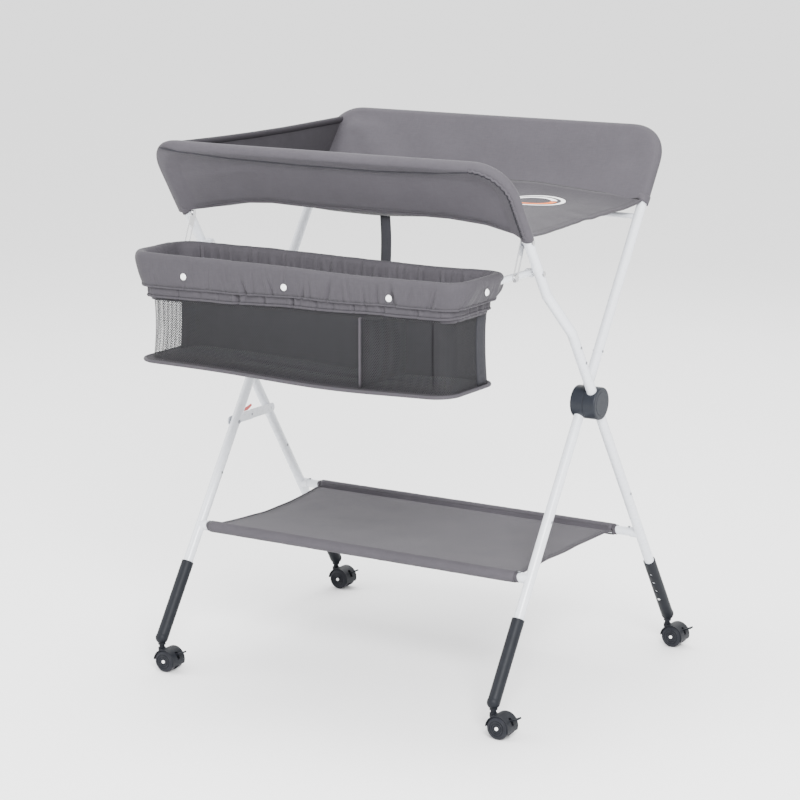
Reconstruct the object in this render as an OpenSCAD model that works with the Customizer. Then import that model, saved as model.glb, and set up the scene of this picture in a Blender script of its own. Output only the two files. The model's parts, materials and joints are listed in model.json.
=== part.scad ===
// Folding changing table. Two crossed tube frames turn on hubs at mid height. They carry a
// fabric tray on top, a fabric shelf below and a hanging basket in front, and stand on casters
// whose sleeves slide on the legs. Millimetres, +Z up, +X along the length, basket at -Y.
// The origin is on the floor, in the middle of the whole outline.

/* [Frame] */
// Half the distance between the inner frame's two side tubes
half_length = 350; // [340:5:360]
// Outer diameter of the frame tubes
tube_d = 18; // [17.6:0.2:18.4]
// Wall of the frame tubes
tube_wall = 1.2; // [1:0.1:1.4]
// Gap between the inner and the outer frame's tubes, where the lock link lies
frame_gap = 6.6; // [6.4:0.2:8]
// Height of the hubs' pivot above the floor
hub_z = 524.2; // [520:0.2:528]
// Tilt of the tubes from the vertical, in degrees
leg_tilt = 33.8; // [33.4:0.2:34.2]
// Height of the rear top rail
rear_top_z = 972; // [965:1:980]
// Height of the front top rail
front_top_z = 962; // [955:1:970]
// Bend radius of the top rails' corners
corner_r = 60; // [50:5:70]
// Diameter of the hub discs
hub_d = 58; // [54:1:62]
// Diameter of the clothes bar
bar_d = 10; // [8:1:12]
// Height of the clothes bar
bar_z = 828; // [824:1:832]
// Diameter of the shelf rails
shelf_rail_d = 16; // [14:1:17]
// Height of the shelf rails
shelf_z = 245.5; // [240:0.5:250]

/* [Legs and casters] */
// Outer diameter of the leg sleeves
sleeve_d = 22.4; // [22.4:0.2:23.2]
// Distance of the sleeves' tops from the hub, along the leg
sleeve_top = 410; // [405:1:415]
// Distance of each caster's swivel axis from the hubs' axis, level with the floor
foot_reach = 312; // [310:1:314]
// Pitch of the height holes
hole_pitch = 22.5; // [22:0.5:23]
// Diameter of the caster wheels
wheel_d = 40; // [39:0.5:41]
// How far a wheel's axle trails its swivel axis
caster_trail = 16; // [15:0.5:17]

/* [Fabric] */
// Outer diameter of the fabric that wraps the top rails
wrap_d = 23; // [22:0.5:24]
// Thickness of a fabric panel
panel_t = 4; // [3:0.5:5]
// Height of the tray floor's upper side
tray_z = 842; // [838:1:846]

/* [Basket] */
// Height of the basket's arms
arm_z = 775; // [773:1:777]
// Depth of the basket's front edge in front of the hubs' axis
basket_front = 402; // [396:2:408]
// Depth of the basket's rear edge in front of the hubs' axis
basket_rear = 238; // [236:1:242]
// Height of the basket's floor
basket_floor_z = 598; // [590:2:606]
// Height of the basket's rim
basket_rim_z = 787; // [786:1:788]
// Diameter of the basket frame's tube
arm_d = 12; // [11:0.5:12]
// Place of the divider along the length, from the middle
divider_x = 133; // [110:1:140]

/* [Hidden] */
CORNERS = [["front_left", -1, 0], ["front_right", 1, 0], ["rear_left", -1, 1], ["rear_right", 1, 1]];
SIDES = [["left", -1], ["right", 1]];
CORNER_PARTS = ["leg_sleeve", "height_button", "caster_hood", "caster_wheels", "caster_brake"];
SIDE_PARTS = ["inner_side_tube", "front_leg", "inner_hub", "outer_side_tube", "rear_leg", "outer_hub"];

$fn = 48;
eps = 0.01;
slack = 0.05;                                    // radial clearance of a running fit
outer_x = half_length + tube_d + frame_gap;      // plane of the outer frame's side tubes
gap_x = half_length + tube_d / 2 + frame_gap / 2;  // middle of the gap between the frames
slope = tan(leg_tilt);
function along(z) = (z - hub_z) / cos(leg_tilt); // distance from the hub, along a side tube, at height z
function depth(z) = (z - hub_z) * slope;         // level distance of a side tube from the hubs' axis at z

spigot_d = tube_d - 2 * tube_wall - 0.2;
spigot_bore = spigot_d - 2 * tube_wall;
upper_joint = 116;         // the top rails plug in here
lower_joint = -247;        // the lower legs plug in here
spigot_len = 44;
screw_d = 4;
screw_head_d = 5.4;
screw_head_h = 0.9;
screw_from_joint = 18;
jog_low = along(662);      // the outer top rail steps inward from here up
jog_turn = 16;
jog_run = (outer_x - half_length) / sin(jog_turn);
jog_high = jog_low + jog_run * cos(jog_turn);

hub_half = (tube_d + frame_gap) / 2;
hub_gap = 0.4;
hub_pin_d = 8;
hub_cap_d = 43;
hub_cap_t = 2;

foot_s = foot_reach / sin(leg_tilt);
elbow_z = hub_z - foot_s * cos(leg_tilt);
leg_end = 525;
button_s = 507;
button_d = 5.6;
hole_d = 6;
stem_d = 10;
stem_top = 66;
collar_z = 46.5;

wheel_r = wheel_d / 2;
wheel_w = 12.4;
wheel_gap = 10.6;          // between the two wheels of a caster
hood_r = wheel_r + 2.4;
hood_w = 36;
web_w = 9.6;
axle_d = 5;
lever_x = caster_trail + 10.7;
lever_z = wheel_r + 9;
lever_len = 26.5;
lever_tilt = 24;
lever_w = 6.4;
paddle_w = 11;

lock_r = 125.4;            // distance of the link's end pivots from the hubs' axis
lock_y = lock_r * sin(leg_tilt);
lock_z = hub_z - lock_r * cos(leg_tilt);
link_t = 1.6;
link_w = 18;
link_pin_d = 5;
front_link_x = -gap_x + 1.3;   // mid planes of the two link plates
rear_link_x = -gap_x - 0.7;

pivot_y = -depth(arm_z);   // where the basket's arms turn, on the outer frame's tubes
tie_z = 833;
tie_y = -depth(tie_z);
knob_y = pivot_y - 63;
arm_x = half_length - tube_d / 2 - 3 - arm_d / 2;
tie_x = half_length - tube_d / 2 - 1.6;
tie_t = 1.5;
tie_slot_w = 9.5;
tie_slot_top = 21;
tie_w = 16;
tie_angle = atan2(tie_y - knob_y, tie_z - arm_z);
tie_reach = norm([tie_y - knob_y, tie_z - arm_z]);
knob_pin_d = 5;
basket_left = -346;
basket_right = 340;
basket_corner = 45;
basket_wall = 3;
band_z = 762;
floor_lip = 6;

// the middle of the whole outline, seen from above
right_reach = outer_x + lever_x + lever_len * cos(lever_tilt) + 1.5 * sin(lever_tilt);
left_reach = outer_x + hub_half + 0.5;
rear_reach = foot_reach + wheel_gap / 2 + wheel_w + 0.6;
centre_x = (right_reach - left_reach) / 2;
centre_y = (rear_reach - (basket_front + floor_lip)) / 2;

module in_row() translate([-centre_x, -centre_y, 0]) children();

// k = 0 is the inner frame, whose legs come to the front; k = 1 is the outer frame.
// z runs up along the side tubes from the hub, and +y faces the other frame's legs.
module on_frame(k) in_row() mirror([0, k, 0]) translate([0, 0, hub_z]) rotate([-leg_tilt, 0, 0]) children();

module along_x(d, x0, x1) translate([x0, 0, 0]) rotate([0, 90, 0]) cylinder(d = d, h = x1 - x0);
module along_y(d, y0, y1) translate([0, y0, 0]) rotate([-90, 0, 0]) cylinder(d = d, h = y1 - y0);
module along_z(d, z0, z1) translate([0, 0, z0]) cylinder(d = d, h = z1 - z0);
module hollow(d, wall, z0, z1) difference() {
    along_z(d, z0, z1);
    along_z(d - 2 * wall, z0 - 1, z1 + 1);
}
module cross_drill(s, d) translate([0, 0, s]) along_x(d, -tube_d, tube_d);
module cross_screw(s, x) translate([x, 0, s]) {
    along_x(screw_d - 2 * slack, -tube_d / 2 - slack, tube_d / 2 + slack);
    for (m = [0, 1]) mirror([m, 0, 0]) translate([tube_d / 2 + slack, 0, 0]) rotate([0, 90, 0])
        cylinder(d1 = screw_head_d, d2 = screw_head_d - 1.6, h = screw_head_h);
}

// ---- frames ----
// a solid U of diameter d, its legs running down to z0, its top rail's axis at z = top
module u_solid(d, z0, top) {
    for (m = [0, 1]) mirror([m, 0, 0]) {
        translate([half_length, 0, 0]) along_z(d, z0, top - corner_r);
        translate([half_length - corner_r, 0, top - corner_r]) rotate([90, 0, 0])
            rotate_extrude(angle = 90) translate([corner_r, 0]) circle(d = d);
    }
    translate([0, 0, top]) along_x(d, corner_r - half_length, half_length - corner_r);
}
// one leg of the outer top rail, which steps inward above the hub
module jogged_leg(d, z0) {
    translate([outer_x, 0, 0]) along_z(d, z0, jog_low);
    translate([outer_x, 0, jog_low]) sphere(d = d + 0.4);
    translate([outer_x, 0, jog_low]) rotate([0, -jog_turn, 0]) along_z(d, 0, jog_run);
    translate([half_length, 0, jog_high]) sphere(d = d + 0.4);
}
module outer_u_solid(d, z0, top) {
    u_solid(d, jog_high, top);
    for (m = [0, 1]) mirror([m, 0, 0]) jogged_leg(d, z0);
}
module rear_top_rail() color("gainsboro") on_frame(0) difference() {
    union() {
        u_solid(tube_d, upper_joint, along(rear_top_z));
        u_solid(spigot_d, upper_joint - spigot_len, along(rear_top_z));
    }
    u_solid(spigot_bore, upper_joint - spigot_len - 1, along(rear_top_z));
    for (s = [-1, 1]) translate([s * half_length, 0, 0]) cross_drill(upper_joint - screw_from_joint, screw_d);
}
module front_top_rail() color("gainsboro") on_frame(1) difference() {
    union() {
        outer_u_solid(tube_d, upper_joint, along(front_top_z));
        for (s = [-1, 1]) translate([s * outer_x, 0, 0])
            along_z(spigot_d, upper_joint - spigot_len, upper_joint + 1);
    }
    outer_u_solid(spigot_bore, upper_joint - spigot_len - 1, along(front_top_z));
    for (s = [-1, 1]) translate([s * outer_x, 0, 0])
        for (z = [-screw_from_joint, screw_from_joint]) cross_drill(upper_joint + z, screw_d);
    for (s = [-1, 1], z = [along(arm_z), along(tie_z)]) translate([s * half_length, 0, 0])
        cross_drill(z, 6 + 2 * slack);
}
module side_tube(side, k) color("gainsboro") on_frame(k)
    translate([side * (k == 0 ? half_length : outer_x), 0, 0])
    difference() {
        hollow(tube_d, tube_wall, lower_joint, upper_joint);
        cross_drill(0, hub_pin_d + 2 * slack);
        cross_drill(upper_joint - screw_from_joint, screw_d);
        cross_drill(lower_joint + screw_from_joint, screw_d);
        if (k == 0 && side < 0) cross_drill(-lock_r, link_pin_d + 2 * slack);
    }
module lower_leg(side, k) color("gainsboro") on_frame(k)
    translate([side * (k == 0 ? half_length : outer_x), 0, 0])
    difference() {
        union() {
            along_z(tube_d, -leg_end, lower_joint);
            along_z(spigot_d, lower_joint - 1, lower_joint + spigot_len);
        }
        along_z(spigot_bore, -leg_end - 1, lower_joint + spigot_len + 1);
        cross_drill(lower_joint + screw_from_joint, screw_d);
        translate([0, 0, -button_s]) along_y(button_d + 2 * slack, 0, tube_d);
    }

module hub_half_body(side, k) {
    x = side * (k == 0 ? half_length : outer_x);
    w = 2 * hub_half - hub_gap / 2;
    out = k == 0 ? -1 : 1;                       // which way this half's face looks
    color("dimgray") on_frame(k) translate([x, 0, 0]) difference() {
        scale([side * out, 1, 1]) translate([-hub_half + hub_gap / 2, 0, 0]) rotate([0, 90, 0])
            rotate_extrude() polygon([
                [0, 0], [hub_d / 2 - 0.8, 0], [hub_d / 2, 0.8], [hub_d / 2, w - 2.4],
                [hub_d / 2 - 0.7, w - 0.7], [hub_d / 2 - 2.4, w], [0, w]
            ]);
        along_z(tube_d + 2 * slack, -hub_d, hub_d);
        along_x(hub_pin_d + 2 * slack, -hub_d, hub_d);
        if (k == 1) scale([side, 1, 1]) {
            along_x(18, tube_d / 2 + 0.1, hub_half + 1);
            along_x(hub_cap_d + 0.4, hub_half - hub_cap_t + 0.4, hub_half + 1);
        }
    }
}
// the pins that the two frames turn on, each with a head at both ends
module hub_pins() color("silver") for (s = [-1, 1]) on_frame(0) scale([s, 1, 1]) {
    along_x(hub_pin_d, half_length - hub_half - 0.3, outer_x + tube_d / 2 + 0.4);
    along_x(15, half_length - hub_half - 2.3, half_length - hub_half - 0.1);
    along_x(15, outer_x + tube_d / 2 + 0.3, outer_x + hub_half - hub_cap_t + 0.3);
}
module hub_caps() color("dimgray") for (s = [-1, 1]) on_frame(1)
    scale([s, 1, 1]) translate([outer_x + hub_half - hub_cap_t + 0.5, 0, 0]) rotate([0, 90, 0])
        rotate_extrude()
        polygon([[0, 0], [hub_cap_d / 2, 0], [hub_cap_d / 2, hub_cap_t - 0.6], [hub_cap_d / 2 - 0.6,
            hub_cap_t], [0, hub_cap_t]]);

module clothes_bar() color("gainsboro") difference() {
    in_row() translate([0, depth(bar_z), bar_z]) along_x(bar_d, -half_length, half_length);
    for (s = [-1, 1]) on_frame(0) translate([s * half_length, 0, 0]) along_z(tube_d + 2 * slack, 200, 500);
}
module shelf_rail(k) {
    x = k == 0 ? half_length : outer_x;
    color("gainsboro") difference() {
        in_row() mirror([0, k, 0]) translate([0, depth(shelf_z), shelf_z]) union() {
            along_x(shelf_rail_d, -x, x);
            for (s = [-1, 1]) scale([s, 1, 1]) along_x(shelf_rail_d + 2.4, x - 18, x);
        }
        for (s = [-1, 1]) {
            on_frame(k) translate([s * x, 0, 0]) along_z(tube_d + 2 * slack, -420, -250);
            rail_screw(s, k, screw_d - 1);
        }
    }
}
module rail_screw(s, k, d) in_row() mirror([0, k, 0])
    translate([s * ((k == 0 ? half_length : outer_x) - 22), depth(shelf_z), shelf_z])
        along_z(d, 0, shelf_rail_d / 2 + 1.3);
module frame_screws(k) color("slategray") {
    for (s = [-1, 1]) {
        x = s * (k == 0 ? half_length : outer_x);
        on_frame(k) {
            cross_screw(upper_joint - screw_from_joint, x);
            cross_screw(lower_joint + screw_from_joint, x);
            if (k == 1) cross_screw(upper_joint + screw_from_joint, x);
        }
        rail_screw(s, k, screw_d - 1 - 2 * slack);
        in_row() mirror([0, k, 0]) translate([s * (abs(x) - 22), depth(shelf_z), shelf_z])
            translate([0, 0, shelf_rail_d / 2 + 1.25]) cylinder(d1 = screw_head_d, d2 = 3.6, h = 1.1);
    }
}

// ---- legs and casters ----
module leg_sleeve(side, k) {
    x = side * (k == 0 ? half_length : outer_x);
    color("dimgray") difference() {
        union() {
            on_frame(k) translate([x, 0, 0]) along_z(sleeve_d, -foot_s, -sleeve_top);
            in_row() mirror([0, k, 0]) translate([x, -foot_reach, 0]) {
                translate([0, 0, elbow_z + 1]) sphere(d = sleeve_d + 0.8);
                along_z(14, collar_z, elbow_z);
            }
        }
        on_frame(k) translate([x, 0, 0]) {
            along_z(tube_d + 0.16, -leg_end - 2, -sleeve_top + 1);
            for (n = [0:3]) translate([0, 0, -button_s + n * hole_pitch]) along_y(hole_d, 0, sleeve_d);
        }
        in_row() mirror([0, k, 0]) translate([x, -foot_reach, 0])
            along_z(stem_d + 2 * slack, 0, stem_top + 0.3);
    }
}
// a sprung button that snaps through the leg and one hole of the sleeve
module height_button(side, k) color("silver")
    on_frame(k) translate([side * (k == 0 ? half_length : outer_x), 0, -button_s]) {
        along_y(button_d, 3.2, sleeve_d / 2 - 0.4);
        translate([0, sleeve_d / 2 - 0.4, 0]) rotate([-90, 0, 0]) cylinder(d1 = button_d, d2 = 2.6, h = 1.3);
        along_y(9, 3.2, 4.2);
        translate([-2.5, 3.2, 0]) cube([5, 0.6, 26]);
    }
module at_caster(side, k) in_row()
    translate([side * (k == 0 ? half_length : outer_x), (k == 0 ? -1 : 1) * foot_reach, 0]) children();
module caster_hood(side, k) color("dimgray") at_caster(side, k) difference() {
    union() {
        translate([caster_trail, 0, wheel_r]) difference() {
            union() {
                along_y(2 * hood_r, -hood_w / 2, hood_w / 2);
                along_y(2 * wheel_r - 8, -web_w / 2, web_w / 2);
            }
            for (m = [0, 1]) mirror([0, m, 0]) along_y(2 * wheel_r + 1.2, web_w / 2, hood_w);
            rotate([0, 12, 0]) translate([-hood_w, -hood_w, -2 * hood_r - 3]) difference() {
                cube([2 * hood_w, 2 * hood_w, 2 * hood_r]);
                translate([hood_w, hood_w, 2 * hood_r + 3]) along_y(2 * wheel_r - 8, -web_w / 2, web_w / 2);
            }
        }
        along_z(14, wheel_r + 14, 40.6);
        along_z(stem_d, 40, stem_top);
    }
    translate([caster_trail, 0, wheel_r]) along_y(axle_d + 2 * slack, -hood_w, hood_w);
    for (m = [0, 1]) mirror([0, m, 0]) translate([caster_trail, web_w / 2, wheel_r])
        along_y(2 * wheel_r + 1.2, 0, hood_w);
    difference() {
        translate([0, lever_w / 2 + 0.3, 0]) rotate([90, 0, 0]) linear_extrude(lever_w + 0.6) union() {
            translate([lever_x, lever_z]) circle(d = 9.4);
            polygon([[lever_x - 3, lever_z + 4], [60, lever_z + 24], [60, lever_z - 6], [lever_x,
                lever_z - 4.6]]);
        }
        translate([lever_x, 0, lever_z]) along_y(3, -web_w, web_w);
    }
}
module caster_wheels(side, k) color("dimgray") at_caster(side, k) translate([caster_trail, 0, wheel_r]) {
    for (m = [0, 1]) mirror([0, m, 0]) translate([0, wheel_gap / 2, 0]) rotate([-90, 0, 0])
        rotate_extrude($fn = 64)
        polygon([
            [0, 0], [wheel_r - 1.2, 0], [wheel_r, 1.2], [wheel_r, wheel_w - 2.4], [wheel_r - 1.6,
                wheel_w - 0.6],
            [wheel_r - 3.4, wheel_w], [wheel_r - 5, wheel_w], [wheel_r - 5.4, wheel_w - 0.8],
            [5, wheel_w - 0.8], [4.2, wheel_w], [3.2, wheel_w], [2.8, wheel_w + 0.6], [0, wheel_w + 0.6]
        ]);
    along_y(axle_d, -wheel_gap, wheel_gap);
}
// the foot lever that locks one caster
module caster_brake(side, k) color("dimgray") at_caster(side, k) translate([lever_x, 0, lever_z])
    rotate([0, -lever_tilt, 0])
    difference() {
        union() {
            along_y(8, -lever_w / 2, lever_w / 2);
            translate([0, -lever_w / 2, -1.5]) cube([lever_len - 4, lever_w, 3]);
            translate([lever_len - 10, -paddle_w / 2, -1.5]) cube([10, paddle_w, 3]);
        }
        along_y(3 + 2 * slack, -lever_w, lever_w);
    }

// ---- lock link, at the left end only ----
module link_plate(reach, taper) rotate([90, 0, 90]) translate([0, 0, -link_t / 2]) linear_extrude(link_t)
    union() {
    circle(d = link_w);
    translate([0, -link_w / 2]) square([reach, link_w]);
    translate([reach, 0]) circle(d = link_w);
}
module at_lock(x, y) in_row() translate([x, y, lock_z]) children();
module lock_pivot() color("slategray") at_lock(0, -lock_y) {
    along_x(link_pin_d, -half_length - tube_d / 2 - 2.6, -half_length + tube_d / 2 + 0.05);
    translate([-half_length + tube_d / 2 + 0.05, 0, 0]) rotate([0, 90, 0])
        cylinder(d1 = 7.4, d2 = 5.4, h = 1.2);
}
module lock_link_front() color("whitesmoke") difference() {
    at_lock(front_link_x, -lock_y) link_plate(lock_y);
    at_lock(front_link_x, -lock_y) along_x(link_pin_d + 2 * slack, -3, 3);
    at_lock(front_link_x, 0) along_x(link_pin_d, -3, 3);
    at_lock(front_link_x, 3 - lock_y / 2) translate([0, 0, link_w / 2 - 4]) along_x(3, -3, 3);
}
module lock_mid_rivet() color("slategray") at_lock(0, 0)
    along_x(link_pin_d - 2 * slack, rear_link_x - link_t / 2 - 0.7, front_link_x + link_t / 2 + 0.4);
module lock_link_rear() color("whitesmoke") {
    difference() {
        at_lock(rear_link_x, 0) link_plate(lock_y);
        at_lock(rear_link_x, 0) along_x(link_pin_d + 2 * slack, -3, 3);
    }
    at_lock(rear_link_x, lock_y) along_x(6.4, link_t / 2, link_t / 2 + 1);
}
// the red catch that stands over the middle of the link
module lock_release() color("firebrick") at_lock(rear_link_x, 3 - lock_y / 2)
    translate([0, 0, link_w / 2 - 4])
    difference() {
        rotate([90, 0, 90]) translate([0, 0, -link_t / 2 - 0.8]) linear_extrude(link_t + 0.8)
            polygon([[-5, -3], [-5, 6], [0, 10], [14, 10], [33, 14.5], [34, 11], [20, 4.6], [5, 4.6],
                [4, -3]]);
        along_x(3 + 2 * slack, -4, 4);
    }

// ---- basket ----
module basket_pivots() color("silver") for (s = [-1, 1]) on_frame(1) scale([s, 1, 1]) {
    translate([0, 0, along(arm_z)]) {
        along_x(6, arm_x - arm_d / 2 - 0.2, half_length + tube_d / 2 + 0.1);
        along_x(10, arm_x - arm_d / 2 - 2.2, arm_x - arm_d / 2 - 0.2);
        along_x(9, half_length + tube_d / 2 + 0.1, half_length + tube_d / 2 + 1.7);
    }
    translate([0, 0, along(tie_z)]) {
        along_x(6, tie_x - tie_t / 2 - 0.3, half_length + tube_d / 2 + 0.1);
        along_x(10, tie_x - tie_t / 2 - 1.9, tie_x - tie_t / 2 - 0.2);
        along_x(9, half_length + tube_d / 2 + 0.1, half_length + tube_d / 2 + 1.7);
    }
}
module basket_frame_solid(grow) {
    front = -basket_front + 8;
    bend = basket_corner - 8;
    for (m = [0, 1]) mirror([m, 0, 0]) {
        translate([arm_x, 0, arm_z]) along_y(arm_d + grow, front + bend, pivot_y - 3);
        translate([arm_x - bend, front + bend, arm_z]) rotate([0, 0, -90]) rotate_extrude(angle = 90)
            translate([bend, 0]) circle(d = arm_d + grow);
    }
    translate([0, front, arm_z]) along_x(arm_d + grow, bend - arm_x, arm_x - bend);
}
module basket_frame() color("gainsboro") in_row() difference() {
    union() {
        basket_frame_solid(0);
        for (s = [-1, 1]) translate([s * arm_x, pivot_y, arm_z])
            along_x(15, 0.4 - arm_d / 2, arm_d / 2 - 0.4);
    }
    for (s = [-1, 1]) translate([s * arm_x, pivot_y, arm_z]) along_x(6 + 2 * slack, -arm_d, arm_d);
    for (s = [-1, 1]) translate([s * arm_x, knob_y, arm_z]) along_x(knob_pin_d + 2 * slack, -arm_d, arm_d);
}
module basket_knobs() color("silver") in_row() for (s = [-1, 1]) scale([s, 1, 1])
    translate([0, knob_y, arm_z]) {
    along_x(knob_pin_d, arm_x - arm_d / 2 - 0.1, tie_x + tie_t / 2 + 0.4);
    along_x(13, tie_x + tie_t / 2 + 0.3, tie_x + tie_t / 2 + 2.8);
    along_x(8, arm_x - arm_d / 2 - 1.6, arm_x - arm_d / 2 - 0.05);
}
// slotted ties that hold the basket level and let it swing up
module basket_ties() color("silver") for (s = [-1, 1])
    in_row() translate([s * tie_x, tie_y, tie_z]) rotate([-tie_angle, 0, 0]) difference() {
        rotate([90, 0, 90]) translate([0, 0, -tie_t / 2]) linear_extrude(tie_t) difference() {
            union() {
                circle(d = tie_w);
                translate([-tie_w / 2, -tie_reach]) square([tie_w, tie_reach]);
                translate([0, -tie_reach]) circle(d = tie_w);
            }
            translate([-tie_slot_w / 2, -tie_reach - knob_pin_d / 2 + tie_slot_w / 2 - 0.1])
                square([tie_slot_w, tie_reach - tie_slot_top - tie_slot_w / 2]);
            translate([0, -tie_reach - knob_pin_d / 2 + tie_slot_w / 2 - 0.1]) circle(d = tie_slot_w);
        }
        along_x(6 + 2 * slack, -4, 4);
    }
// the basket's outline, seen from above, drawn in by inset
module basket_block(inset, z0, z1) {
    x0 = basket_left + inset;
    x1 = basket_right - inset;
    y0 = -basket_front + inset;
    y1 = -basket_rear - inset;
    r = basket_corner - inset;
    translate([0, 0, z0]) linear_extrude(z1 - z0) union() {
        translate([x0 + r, y0]) square([x1 - x0 - 2 * r, y1 - y0]);
        translate([x0, y0 + r]) square([x1 - x0, y1 - y0 - 2 * r]);
        for (x = [x0 + r, x1 - r], y = [y0 + r, y1 - r]) translate([x, y]) circle(r = r);
    }
}
module basket_shell() color("dimgray") in_row() difference() {
    union() {
        basket_block(0, basket_floor_z, basket_rim_z);
        basket_block(-floor_lip, basket_floor_z - 2, basket_floor_z + 2);
    }
    basket_block(basket_wall, basket_floor_z + 2, band_z);
    basket_block(17, basket_floor_z + 2, basket_rim_z + 1);
    basket_frame_solid(0.6);
    for (s = [-1, 1]) translate([s * (arm_x + 25), pivot_y - 40, arm_z]) cube([44, 120, 50], center = true);
}
module basket_divider() color("dimgray") in_row()
    translate([divider_x - 1, -basket_front + basket_wall + 0.3, basket_floor_z + 2.2])
    cube([2, basket_front - basket_rear - 2 * basket_wall - 0.6, band_z - basket_floor_z - 12]);
module snap() rotate([90, 0, 0]) translate([0, 0, 0.1]) cylinder(d1 = 12, d2 = 9, h = 1.6);
module basket_snaps() color("white") in_row() {
    for (x = [-220, -11, 197]) translate([x, -basket_front, basket_rim_z - 34]) snap();
    translate([basket_right, -327, basket_rim_z - 22]) rotate([0, 0, 90]) snap();
}
module basket_strap() color("dimgray") in_row() translate([76, -basket_rear + 17, basket_rim_z + 2])
    cube([20, 1.6, tray_z - panel_t - basket_rim_z - 6]);

// ---- fabric ----
// a panel in the plane of one frame's side tubes, wrapped round its top rail
module tilted_wall(k, top_z, low_z) on_frame(k) difference() {
    union() {
        u_solid(wrap_d, along(low_z), along(top_z));
        translate([-half_length, -panel_t / 2, along(low_z)])
            cube([2 * half_length, panel_t, along(top_z) - along(low_z) - corner_r]);
        translate([corner_r - half_length, -panel_t / 2, along(low_z)])
            cube([2 * (half_length - corner_r), panel_t, along(top_z) - along(low_z)]);
        for (m = [0, 1]) mirror([m, 0, 0]) translate([half_length - corner_r, 0, along(top_z) - corner_r])
            along_y(2 * corner_r, -panel_t / 2, panel_t / 2);
    }
    u_solid(tube_d + 0.6, along(low_z) - 1, along(top_z));
}
module rear_wall() color("dimgray") tilted_wall(0, rear_top_z, tray_z + 8);
module front_wall() color("dimgray") tilted_wall(1, front_top_z, tray_z + 6);
module bed_floor() color("dimgray") in_row() translate([-half_length + 14, -depth(tray_z) + 15,
    tray_z - panel_t])
    cube([2 * half_length - 16, 2 * depth(tray_z) - 30, panel_t]);
module end_wall() color("dimgray") in_row() translate([-half_length + 11.8, 0, 0]) rotate([90, 0, 90])
    linear_extrude(2)
    polygon([
        [-depth(tray_z) + 18, tray_z - panel_t], [depth(tray_z) - 18, tray_z - panel_t],
        [depth(rear_top_z) - 30, rear_top_z - 8], [-depth(front_top_z) + 30, front_top_z - 8]
    ]);
module shelf_sheet() color("dimgray") in_row() difference() {
    union() {
        for (m = [0, 1]) mirror([0, m, 0]) translate([0, depth(shelf_z), shelf_z])
            along_x(shelf_rail_d + 3, -322, 322);
        translate([-322, depth(shelf_z), shelf_z + shelf_rail_d / 2 - 1])
            cube([644, -2 * depth(shelf_z), 2.5]);
    }
    for (m = [0, 1]) mirror([0, m, 0]) translate([0, depth(shelf_z), shelf_z])
        along_x(shelf_rail_d + 0.6, -400, 400);
}

rear_top_rail();
front_top_rail();
clothes_bar();
shelf_rail(0);  // shelf_front_rail
shelf_rail(1);  // shelf_rear_rail
hub_pins();
hub_caps();
frame_screws(0);  // rear_frame_screws
frame_screws(1);  // front_frame_screws
basket_pivots();
for (s = SIDES) {
    side_tube(s[1], 0);
    side_tube(s[1], 1);
    lower_leg(s[1], 0);
    lower_leg(s[1], 1);
    hub_half_body(s[1], 0);
    hub_half_body(s[1], 1);
}
for (c = CORNERS) {
    leg_sleeve(c[1], c[2]);
    height_button(c[1], c[2]);
    caster_hood(c[1], c[2]);
    caster_wheels(c[1], c[2]);
    caster_brake(c[1], c[2]);
}
lock_pivot();
lock_link_front();
lock_mid_rivet();
lock_link_rear();
lock_release();
basket_frame();
basket_knobs();
basket_ties();
basket_shell();
basket_divider();
basket_snaps();
basket_strap();
front_wall();
rear_wall();
end_wall();
bed_floor();
shelf_sheet();
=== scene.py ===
"""Looks of the folding changing table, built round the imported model. Metres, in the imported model's frame."""
import json
import math

import bmesh
import bpy
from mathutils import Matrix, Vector, noise


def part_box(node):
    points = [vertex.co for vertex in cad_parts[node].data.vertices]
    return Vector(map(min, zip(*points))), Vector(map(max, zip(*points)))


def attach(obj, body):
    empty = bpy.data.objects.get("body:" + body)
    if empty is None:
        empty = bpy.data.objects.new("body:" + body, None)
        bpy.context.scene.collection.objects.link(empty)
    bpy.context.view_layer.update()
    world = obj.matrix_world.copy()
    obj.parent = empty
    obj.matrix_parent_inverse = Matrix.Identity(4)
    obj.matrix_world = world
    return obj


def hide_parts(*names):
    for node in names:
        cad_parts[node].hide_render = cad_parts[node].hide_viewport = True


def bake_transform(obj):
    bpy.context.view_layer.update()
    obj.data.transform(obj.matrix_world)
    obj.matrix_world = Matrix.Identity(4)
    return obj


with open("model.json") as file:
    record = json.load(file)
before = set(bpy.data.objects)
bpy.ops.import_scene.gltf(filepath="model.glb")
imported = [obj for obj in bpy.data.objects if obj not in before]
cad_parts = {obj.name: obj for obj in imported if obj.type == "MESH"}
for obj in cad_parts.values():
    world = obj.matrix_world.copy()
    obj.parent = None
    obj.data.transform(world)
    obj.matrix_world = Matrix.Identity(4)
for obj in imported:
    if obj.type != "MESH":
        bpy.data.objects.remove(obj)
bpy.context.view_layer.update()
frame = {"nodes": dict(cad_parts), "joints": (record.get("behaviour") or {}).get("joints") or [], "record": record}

record = frame["record"]
nodes = frame["nodes"]
joints = {j["name"]: j for j in frame["joints"]}
HUB = Vector(joints["fold"]["pos_m"])          # middle of the hubs' axis
slope = Vector(joints["height_front_left"]["axis"])   # the legs slide along their own tubes
TILT = math.atan2(abs(slope.y), abs(slope.z))
SIN, COS = math.sin(TILT), math.cos(TILT)
rail_lo, rail_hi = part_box("inner_side_tube_right")
HALF = ((rail_lo.x + rail_hi.x) / 2) - HUB.x    # half the distance between the side tubes


def at(x, y, z):
    """A point given in millimetres from the floor under the hubs' axis."""
    return Vector((HUB.x + x / 1000, HUB.y + y / 1000, z / 1000))


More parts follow.
